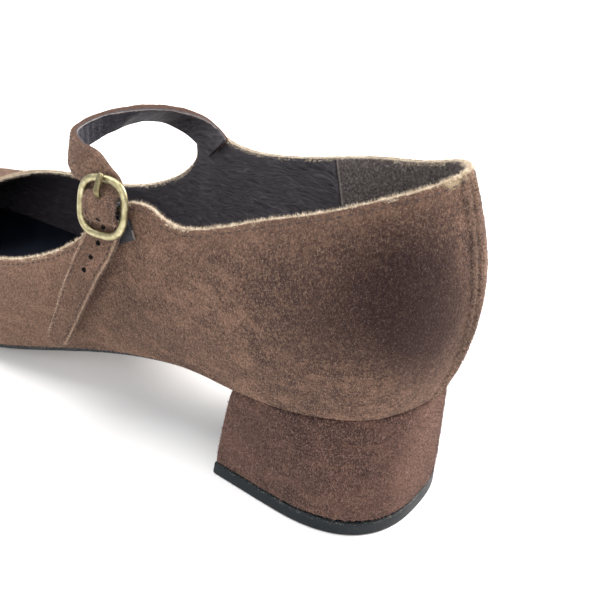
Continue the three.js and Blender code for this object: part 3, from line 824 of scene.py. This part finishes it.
upperMesh, ridge = makeUpper()
showPiece("upper_suede", upperMesh, [suede, lining], ["upper"])
print("scene: upper", len(upperMesh.polygons), "faces")
stitches = makeStitches("topline_stitches", [toplineStitchLine(upperMesh, ridge)], upperSettings)
showPiece("topline_stitches", stitches, [thread])
print("scene: topline stitches", len(stitches.polygons), "faces")
kinds = [(nap, "suede"), (fuzz, "suede"), (greyFuzz, "lining")]
for (name, settings), weights, (hair, slot) in zip(upperNaps.items(), upperNapWeights(upperMesh), kinds):
    showPiece(name, makeNap(name, upperMesh, weights, settings), [hair])
print("scene: nap of the upper")


heelLook = {
    **suedeLook,
    "base": tint(58, 41, 36),
    "light": tint(90, 66, 57),
    "dark": tint(42, 30, 28),
    "fleck": tint(158, 126, 112),
    "darkSpots": [(44, 27, 22, 14, 0.6), (30, 27, 30, 12, 0.5)],
    # the last two light spots, at the back of the heel, are a painted highlight where the rim light falls on its edge
    "lightSpots": [(52, 22, 14, 20, 0.9), (14, 24, 12, 13, 0.6), (7, 5, 18, 20, 1.3), (6, 3, 33, 14, 1.1)],
    "wornSpots": [(15.8, 27, 27.7, 0.9)],
}
# sharp is the angle from which an edge is creased, and wider spreads a piece sideways, in millimetres
heelSettings = {"sharp": 38, "crease": 0.72, "levels": 2, "smooth": 50, "wider": 0.0}
liftSettings = {"sharp": 38, "crease": 0.8, "levels": 2, "smooth": 45, "wider": 0.0}
outsoleSettings = {"sharp": 30, "crease": 0.6, "levels": 1, "smooth": 45, "wider": 0.0}
sockSettings = {"sharp": 30, "crease": 0.6, "levels": 1, "smooth": 45, "wider": 0.7}  # meets the upper's lining
heelNap = {"count": 30000, "length": (0.4, 0.9), "thick": 0.055, "loose": 1.4, "seed": 21}


def softened(node, name, settings):  # a plain node with its edges rounded
    bm = mergedNode(node)
    bmesh.ops.dissolve_limit(bm, angle_limit=math.radians(1), verts=bm.verts, edges=bm.edges)
    quadsFrom(bm)
    creaseEdges(bm, settings["sharp"], settings["crease"])
    bm = subdivided(bm, settings["levels"])
    bm.normal_update()
    for vert in bm.verts:
        vert.co += Vector((vert.normal.x, vert.normal.y, 0)) * settings["wider"] * mm
    return meshOf(bm, name, settings["smooth"])


heelSuede = suedeCloth("heel_suede", heelLook, rimmed=False)
heelFuzz = twistedFibre("heel_fuzz", {**fuzzLook, "base": tint(52, 37, 33), "light": tint(140, 108, 96)})
heelMesh = softened("heel_block", "heel_cover", heelSettings)
showPiece("heel_cover", heelMesh, [heelSuede], ["heel_block"])
weights = [face.area * 1e6 if abs(face.normal.z) < 0.6 else 0.0 for face in heelMesh.polygons]
showPiece("heel_nap", makeNap("heel_nap", heelMesh, weights, heelNap), [heelFuzz])
liftRubber = soleRubber("lift_rubber", rubberLook)
showPiece("lift_tread", softened("top_lift", "lift_tread", liftSettings), [liftRubber], ["top_lift"])
outsoleRubber = soleRubber("outsole_rubber", {**rubberLook, "tread": 1.2})
showPiece("outsole_edge", softened("outsole", "outsole_edge", outsoleSettings), [outsoleRubber], ["outsole"])
sock = sockLeather("sock_leather", sockLook)
showPiece("sock_lining", softened("insole", "sock_lining", sockSettings), [sock], ["insole"])
print("scene: heel, lift, outsole and sock")


strapSettings = {
    "width": 9.5,
    "thickness": 2.0,
    "corner": 0.55,
    "steps": 8,
    "tip": 6.0,
    "taper": 0.74,  # the tail's width at its tip, as a share
    "archEnd": 76,  # from the seam along the strap
    "tailStart": 92,
    "hole": 0.8,
    "holes": (2.4, 7.4, 12.4, 17.4, 22.4),  # from the centre bar along the strap
    "stitchInset": 1.25,
    "stitchStart": 1.0,
    "stitchPitch": 2.1,
    "stitchLift": 0.0,
    "stitch": (0.22, 0.75, 0.17),
}
strapNap = {"count": 16000, "length": (0.3, 0.8), "thick": 0.05, "loose": 1.2, "seed": 31}
# folds of the strap's lining where it turns down to the buckle: how far along, depth and half width
liningFolds = [
    (43.5, 0.3, 0.9), (46, 0.5, 1.0), (48.6, 0.45, 0.9), (51, 0.55, 1.0), (53.8, 0.45, 1.0), (57, 0.3, 1.0),
]
strapRise = [  # a place on the middle line, then the way across the strap
    (103.6, -23.8, 72.4, -0.52, -0.15, 0.85), (106.4, -23.6, 74.8, -0.56, -0.15, 0.82),
    (109.4, -22.1, 77.4, -0.64, -0.12, 0.75), (112.2, -18.5, 80.3, -0.74, -0.02, 0.66),
    (114.2, -12.5, 83.1, -0.82, 0.02, 0.55), (114.8, -5, 84.9, -0.8, 0, 0.58),
    (115.4, 3.8, 85.3, -0.66, 0.05, 0.75), (115.9, 12.6, 84.6, -0.44, 0.08, 0.9),
    (114.9, 19.9, 83.4, -0.26, 0.08, 0.96), (112.2, 25.4, 82.9, -0.22, 0.02, 0.97),
    (106.8, 29.3, 82.8, -0.22, -0.05, 0.97), (102.4, 31.3, 82.7, -0.3, -0.1, 0.95),
]
strapInBuckle = [  # down, out, to the toe, turn in degrees
    (-8.6, -2.65, 6.2, 48), (-6.5, -2.2, 3.1, 36), (-4.65, -1.85, 0.8, 10), (-3, 0.3, 0, 2),
    (-1.6, 1.75, -0.4, 0), (0, 2, -0.5, 0), (1.6, 1.75, -0.5, 0), (3, 0.3, -0.3, 0), (4.3, -1.85, 0, 0),
    (6.4, -2.2, 0.5, -6), (8.8, -2.25, 1.2, -14),
]
strapTail = [
    (92.6, 35.6, 62.2, -0.93, -0.2, -0.28), (95.2, 36.5, 57.4, -0.93, -0.24, -0.28),
    (98.6, 37.4, 50, -0.91, -0.26, -0.32), (102.6, 37.7, 41.8, -0.89, -0.24, -0.38),
    (106.2, 37.6, 34.8, -0.88, -0.22, -0.42), (108.8, 37.5, 29.8, -0.88, -0.2, -0.43),
]
buckleOut = Vector((-0.16, 0.965, 0.2)).normalized()
buckleDown = Vector((-0.07, 0.191, -0.979))
buckleDown = (buckleDown - buckleOut * buckleDown.dot(buckleOut)).normalized()
buckleFore = buckleDown.cross(buckleOut)
buckleMiddle = at(90.31, 35.06, 74.63)


def inBuckle(down, out, fore=0.0):  # millimetres from the middle of the buckle
    return buckleMiddle + (buckleFore * fore + buckleDown * down + buckleOut * out) * mm


def strapLine():  # the middle line, the way across and the share of the full width
    settings = strapSettings
    steps = settings["steps"]
    points = [at(*row[:3]) for row in strapRise]
    points += [inBuckle(*row[:3]) for row in strapInBuckle]
    points += [at(*row[:3]) for row in strapTail]
    widths = [Vector(row[3:]) for row in strapRise]
    for row in strapInBuckle:
        turn = math.radians(row[3])
        widths.append(buckleFore * -math.cos(turn) - buckleDown * math.sin(turn))
    widths += [Vector(row[3:]) for row in strapTail]
    path = smoothPath(points, steps)
    across = []
    for i in range(len(path)):
        k = min(len(widths) - 2, i // steps)
        across.append(widths[k].lerp(widths[k + 1], i / steps - k).normalized())
    tail = (len(strapRise) + len(strapInBuckle)) * steps
    shares = [1 - (1 - settings["taper"]) * max(0, i - tail) / (len(path) - 1 - tail) for i in range(len(path))]
    lead = (path[-1] - path[-2]).normalized()
    end = path[-1]
    for k in range(1, 13):  # the rounded tip
        share = math.sin(math.pi / 2 * k / 12)
        path.append(end + lead * settings["tip"] * mm * share)
        across.append(across[-1])
        shares.append(settings["taper"] * math.sqrt(max(0.012, 1 - share ** 2.2)))
    return path, across, shares


def holePlaces(path, across):  # the middle of each hole and the way through it
    middle = min(range(len(path)), key=lambda i: (path[i] - buckleMiddle - buckleOut * 2 * mm).length)
    line = []
    for i in range(middle, len(path) - 1):
        line.append((path[i], (path[i + 1] - path[i - 1]).cross(across[i]).normalized()))
    firstPlaces = [spaced(line, 1, distance * mm)[0] for distance in strapSettings["holes"]]
    return [(point, way) for point, direction, way in firstPlaces]


def punchedThrough(bm, places):
    cutter = bmesh.new()
    radius = strapSettings["hole"] * mm
    shape = {"segments": 20, "radius1": radius, "radius2": radius, "depth": 6 * mm, "cap_ends": True}
    for point, way in places:
        spot = Matrix.Translation(point) @ way.to_track_quat("Z", "Y").to_matrix().to_4x4()
        bmesh.ops.create_cone(cutter, matrix=spot, **shape)
    pieces = []
    for name, solid in (("strap", bm), ("cutter", cutter)):
        pieces.append(bpy.data.objects.new(name, meshOf(solid, name, 0)))
        bpy.context.scene.collection.objects.link(pieces[-1])
    pieces[0].modifiers.new("holes", "BOOLEAN").object = pieces[1]
    fine = appliedMesh(pieces[0])
    for piece in pieces:
        bpy.data.objects.remove(piece)
    # the walls of the holes take the dark finish: painted shade inside the holes, over a raw edge
    for face in fine.faces:
        middle = face.calc_center_median()
        for point, way in places:
            away = middle - point
            if (away - way * away.dot(way)).length < radius and away.length < 2.5 * mm:
                face.material_index = 2
    return fine


def makeStrap():
    settings = strapSettings
    path, across, shares = strapLine()

    def outlineAt(i):
        return bandOutline(settings["width"] * shares[i] * mm, settings["thickness"] * mm, settings["corner"] * mm)

    bm = sweep(path, across, outlineAt)
    inOrder(bm)
    for name in ("rim", "reliefShading"):
        bm.verts.layers.float.new(name)
    along, side, sheet, rim, reliefShading = [bm.verts.layers.float[n] for n in ("along", "side", "sheet", "rim", "reliefShading")]
    lengths = [0.0]
    for a, b in zip(path, path[1:]):
        lengths.append(lengths[-1] + (b - a).length / mm)
    for vert in bm.verts:
        near = min(range(len(lengths)), key=lambda k: abs(lengths[k] - vert[along]))
        inset = settings["width"] / 2 * shares[near] - abs(vert[side])
        face = 0.3 if vert[sheet] <= -0.7 else 0.1 if vert[along] > settings["tailStart"] else 1.3
        # the side walls over the instep are marked for painted shade
        wall = vert[along] < settings["archEnd"] and abs(vert[sheet]) < 0.6 and abs(vert[side]) > 4
        vert[reliefShading] = -1.0 if wall else 0.0
        vert[rim] = max(0.0, inset) + face + max(0.0, 5 - vert[along]) * 0.5
    bm.normal_update()
    for vert in bm.verts:
        wrinkle = 0.0
        if vert[sheet] < 0 and vert[rim] > 0.3:
            for middle, deep, wide in liningFolds:
                slanted = vert[along] - middle - 0.25 * vert[side]
                wrinkle -= deep * math.exp(-((slanted / wide) ** 2)) * min(1, vert[rim] / 1.5)
        wrinkle += 0.12 * math.sin(vert[along] * 0.55 + vert[side] * 0.4) * math.sin(vert[along] * 0.23)
        vert.co += vert.normal * wrinkle * mm
    bm = subdivided(bm, 1)
    sheet = bm.verts.layers.float["sheet"]
    for face in bm.faces:
        face.material_index = 1 if sum(v[sheet] for v in face.verts) / len(face.verts) < -0.25 else 0
    bm = punchedThrough(bm, holePlaces(path, across))
    return meshOf(bm, "strap_suede", 50), path, across, shares


def strapNapWeights(mesh):
    rims = mesh.attributes["rim"].data
    reliefShadings = mesh.attributes["reliefShading"].data
    weights = []
    for face in mesh.polygons:
        first = face.vertices[0]
        # few pale hairs on the walls with painted shade, so that they stay dark
        edge = 0.15 if reliefShadings[first].value < -0.3 else 3 if rims[first].value < 1.6 else 1
        weights.append(face.area * 1e6 * edge if face.material_index == 0 else 0.0)
    return weights


def strapStitchLines(path, across, shares):  # one line along each edge
    settings = strapSettings
    lines = []
    for side in (-1, 1):
        line = []
        for i, middle in enumerate(path):
            if shares[i] < 0.55:
                continue
            forward = (path[min(i + 1, len(path) - 1)] - path[max(i - 1, 0)]).normalized()
            wide = (across[i] - forward * across[i].dot(forward)).normalized()
            out = forward.cross(wide)
            inset = settings["width"] * shares[i] / 2 - settings["stitchInset"]
            line.append((middle + (wide * side * inset + out * settings["thickness"] * 0.49) * mm, out))
        lines.append(line)
    return lines


def roundOutline(radius, sides):
    turns = [2 * math.pi * k / sides for k in range(sides)]
    return [(radius * math.cos(turn), radius * math.sin(turn)) for turn in turns]


def joined(bm, other):
    mesh = meshOf(other, "joined", 0)
    bm.from_mesh(mesh)
    bpy.data.meshes.remove(mesh)


buckleSettings = {
    "width": 15.8,
    "length": 16.7,
    "band": 2.15,
    "depth": 1.8,
    "square": 2.9,  # 2 is an ellipse, and more is squarer
    "bar": 0.7,
    "recess": 1.3,  # the centre bar lies this far behind the rim
    "sides": 96,
}


def makeBuckle():
    settings = buckleSettings
    sides = settings["sides"]
    a = (settings["width"] - settings["band"]) / 2
    b = (settings["length"] - settings["band"]) / 2
    power = 2 / settings["square"]
    path = []
    for i in range(sides):
        angle = 2 * math.pi * i / sides
        down = b * math.copysign(abs(math.sin(angle)) ** power, math.sin(angle))
        fore = a * math.copysign(abs(math.cos(angle)) ** power, math.cos(angle))
        path.append(inBuckle(down, 0, fore))
    outline = []
    for over, out in roundOutline(1, 16):  # a band that is flat behind and domed in front
        deep = max(out * settings["depth"] / 2, -settings["depth"] * 0.42)
        outline.append((over * settings["band"] / 2 * mm, deep * mm))
    across = [buckleOut.cross((path[(i + 1) % sides] - path[i - 1]).normalized()) for i in range(sides)]
    bm = sweep(path, across, lambda i: outline, closed=True)
    barPath = []
    for share in (-1, -0.94, -0.88, 0, 0.88, 0.94, 1):
        out = -settings["recess"] + (0.5 if abs(share) > 0.93 else 0)
        barPath.append(inBuckle(0, out, a * share))
    joined(bm, sweep(barPath, [buckleDown] * 7, lambda i: roundOutline(settings["bar"] * mm, 14)))
    return meshOf(bm, "buckle_brass", 50)


pinSettings = {
    "width": 1.75,
    "thick": 0.98,
    "corner": 0.36,
    "narrow": 0.2,  # how much it narrows towards its tip, as a share
    "eye": 1.18,
    "eyeThick": 0.7,
    "eyeCorner": 0.25,
}
pinPath = [(0.2, -0.1), (-1.4, 0.6), (-2.9, 1.9), (-4.2, 2.5), (-6.1, 2.1), (-7.7, 1.6), (-8.9, 1.2)]


def makePin():
    settings = pinSettings
    width = settings["width"] * mm
    path = smoothPath([inBuckle(*row) for row in pinPath], 6)
    count = len(path)

    def outlineAt(i):
        narrow = 1 - settings["narrow"] * max(0.0, (i - count + 8) / 8)
        tip = 0.55 if i == count - 1 else 0.85 if i == count - 2 else 1
        return bandOutline(width * narrow * tip, settings["thick"] * tip * mm, settings["corner"] * mm, flat=3)

    bm = sweep(path, [buckleFore] * count, outlineAt)
    eyePath = []
    for along, out in roundOutline(settings["eye"], 24):
        eyePath.append(inBuckle(along, out - buckleSettings["recess"]))
    eyeOutline = bandOutline(width, settings["eyeThick"] * mm, settings["eyeCorner"] * mm, flat=3)
    joined(bm, sweep(eyePath, [buckleFore] * 24, lambda i: eyeOutline, closed=True))
    return meshOf(bm, "pin_brass", 50)


chapeSettings = {"width": 8.3, "thick": 0.85, "corner": 0.22, "fold": 14}  # fold: its first part round the bar
chapePath = [
    (0.2, -2.72, 0), (-0.9, -2.4, 0), (-1.4, -1.3, 0), (-0.95, -0.35, 0), (0, 0.02, 0), (0.95, -0.4, 0),
    (1.55, -1.6, -0.3), (2.4, -2.9, -0.8), (3.9, -3.8, -1.6), (6.5, -3.95, -2.9), (9.2, -4.05, -4.2),
]


def makeChape():
    settings = chapeSettings
    path = smoothPath([inBuckle(*row) for row in chapePath], 5)
    outline = bandOutline(settings["width"] * mm, settings["thick"] * mm, settings["corner"] * mm)
    bm = sweep(path, [buckleFore] * len(path), lambda i: outline)
    rim = bm.verts.layers.float.new("rim")
    side, along = bm.verts.layers.float["side"], bm.verts.layers.float["along"]
    for vert in bm.verts:
        inset = max(0.0, settings["width"] / 2 - abs(vert[side]))
        vert[rim] = inset + (1.4 if vert[along] < settings["fold"] else 0.45)
    return meshOf(bm, "chape_leather", 50)


# painted shade for the walls of the strap's holes, whose raw edges lie in shadow
holeShadeLook = {"base": tint(18, 14, 14), "light": tint(46, 36, 32), "twist": 2.0, "gloss": {"Roughness": 0.9}}
holeShade = twistedFibre("painted_hole_shade", holeShadeLook)
strapCloth = suedeCloth("strap_suede", {**suedeLook, "edge": tint(170, 146, 124)})
strapLining = liningLeather("strap_lining", {**liningLook, "edge": tint(150, 140, 132), "cool": tint(34, 38, 48)})
strapMesh, *strapCourse = makeStrap()
showPiece("strap_suede", strapMesh, [strapCloth, strapLining, holeShade], ["strap"])
hairs = makeNap("strap_nap", strapMesh, strapNapWeights(strapMesh), strapNap)
showPiece("strap_nap", hairs, [fuzz])
print("scene: strap nap")
strapStitches = makeStitches("strap_stitches", strapStitchLines(*strapCourse), strapSettings)
showPiece("strap_stitches", strapStitches, [thread])
brass = antiqueBrass("antique_brass", brassLook)
darkLook = {**brassLook, "base": tint(120, 112, 84), "worn": tint(156, 148, 116), "tarnished": 0.8}
darkBrass = antiqueBrass("dark_brass", darkLook)
chapeLook = {**liningLook, "leather": tint(40, 40, 46), "edge": tint(128, 116, 106)}
chapeSkin = liningLeather("chape_leather", chapeLook)
showPiece("buckle_brass", makeBuckle(), [brass], ["buckle_frame"])
showPiece("pin_brass", makePin(), [darkBrass], ["buckle_pin"])
showPiece("chape_leather", makeChape(), [chapeSkin], ["chape"])
print("scene: strap and buckle")


def makeFloor():
    bm = bmesh.new()
    bmesh.ops.create_grid(bm, x_segments=2, y_segments=2, size=3)
    floor = bpy.data.objects.new("floor", meshOf(bm, "floor", 0))
    bpy.context.scene.collection.objects.link(floor)
    pale = Finish("pale_floor", {"gloss": {"Base Color": tint(244, 243, 241), "Roughness": 0.9}})
    floor.data.materials.append(pale.material)


lights = {  # where it hangs and what it points at in metres, size, power, colour
    "window": ((-0.5, -0.75, 0.85), (-0.06, 0, 0.04), 0.6, 22, (1, 0.97, 0.94)),
    "overhead": ((0.25, 0.1, 1.1), (0, 0, 0.03), 0.9, 14, (1, 1, 1)),
    "fill": ((-0.3, 0.9, 0.5), (-0.04, 0, 0.04), 0.8, 5, (1, 0.98, 0.96)),
    "rim": ((-0.46, -0.4, 0.12), (-0.1, 0, 0.04), 0.3, 3.6, (1, 0.88, 0.85)),
}
skyLook = {"Color": (0.93, 0.95, 1, 1), "Strength": 0.9}


def makeLight(name, position, target, size, power, colour):
    lamp = bpy.data.lights.new(name, "AREA")
    lamp.shape = "DISK"
    lamp.size = size
    lamp.energy = power
    lamp.color = colour
    holder = bpy.data.objects.new(name, lamp)
    holder.location = position
    holder.rotation_euler = (Vector(target) - Vector(position)).to_track_quat("-Z", "Y").to_euler()
    bpy.context.scene.collection.objects.link(holder)


makeFloor()
for name, settings in lights.items():
    makeLight(name, *settings)
sky = bpy.data.worlds.new("studio")
sky.use_nodes = True
for socket, value in skyLook.items():
    sky.node_tree.nodes["Background"].inputs[socket].default_value = value
bpy.context.scene.world = sky
print("scene: floor and light")

camera = bpy.data.objects.new("camera", bpy.data.cameras.new("camera"))
camera.data.sensor_width = 36
camera.data.lens = 47.616  # the photograph's view of the shoe
camera.data.clip_start = 0.01
right, up, back = (-0.7989, -0.5968, 0.0753), (0.3538, -0.3648, 0.8612), (-0.4864, 0.7147, 0.5026)
turn = Matrix((right, up, back)).transposed().to_4x4()
camera.matrix_world = Matrix.Translation((-0.1855, 0.15809, 0.15917)) @ turn
bpy.context.scene.collection.objects.link(camera)
bpy.context.scene.camera = camera
bpy.context.scene.view_settings.view_transform = "Standard"
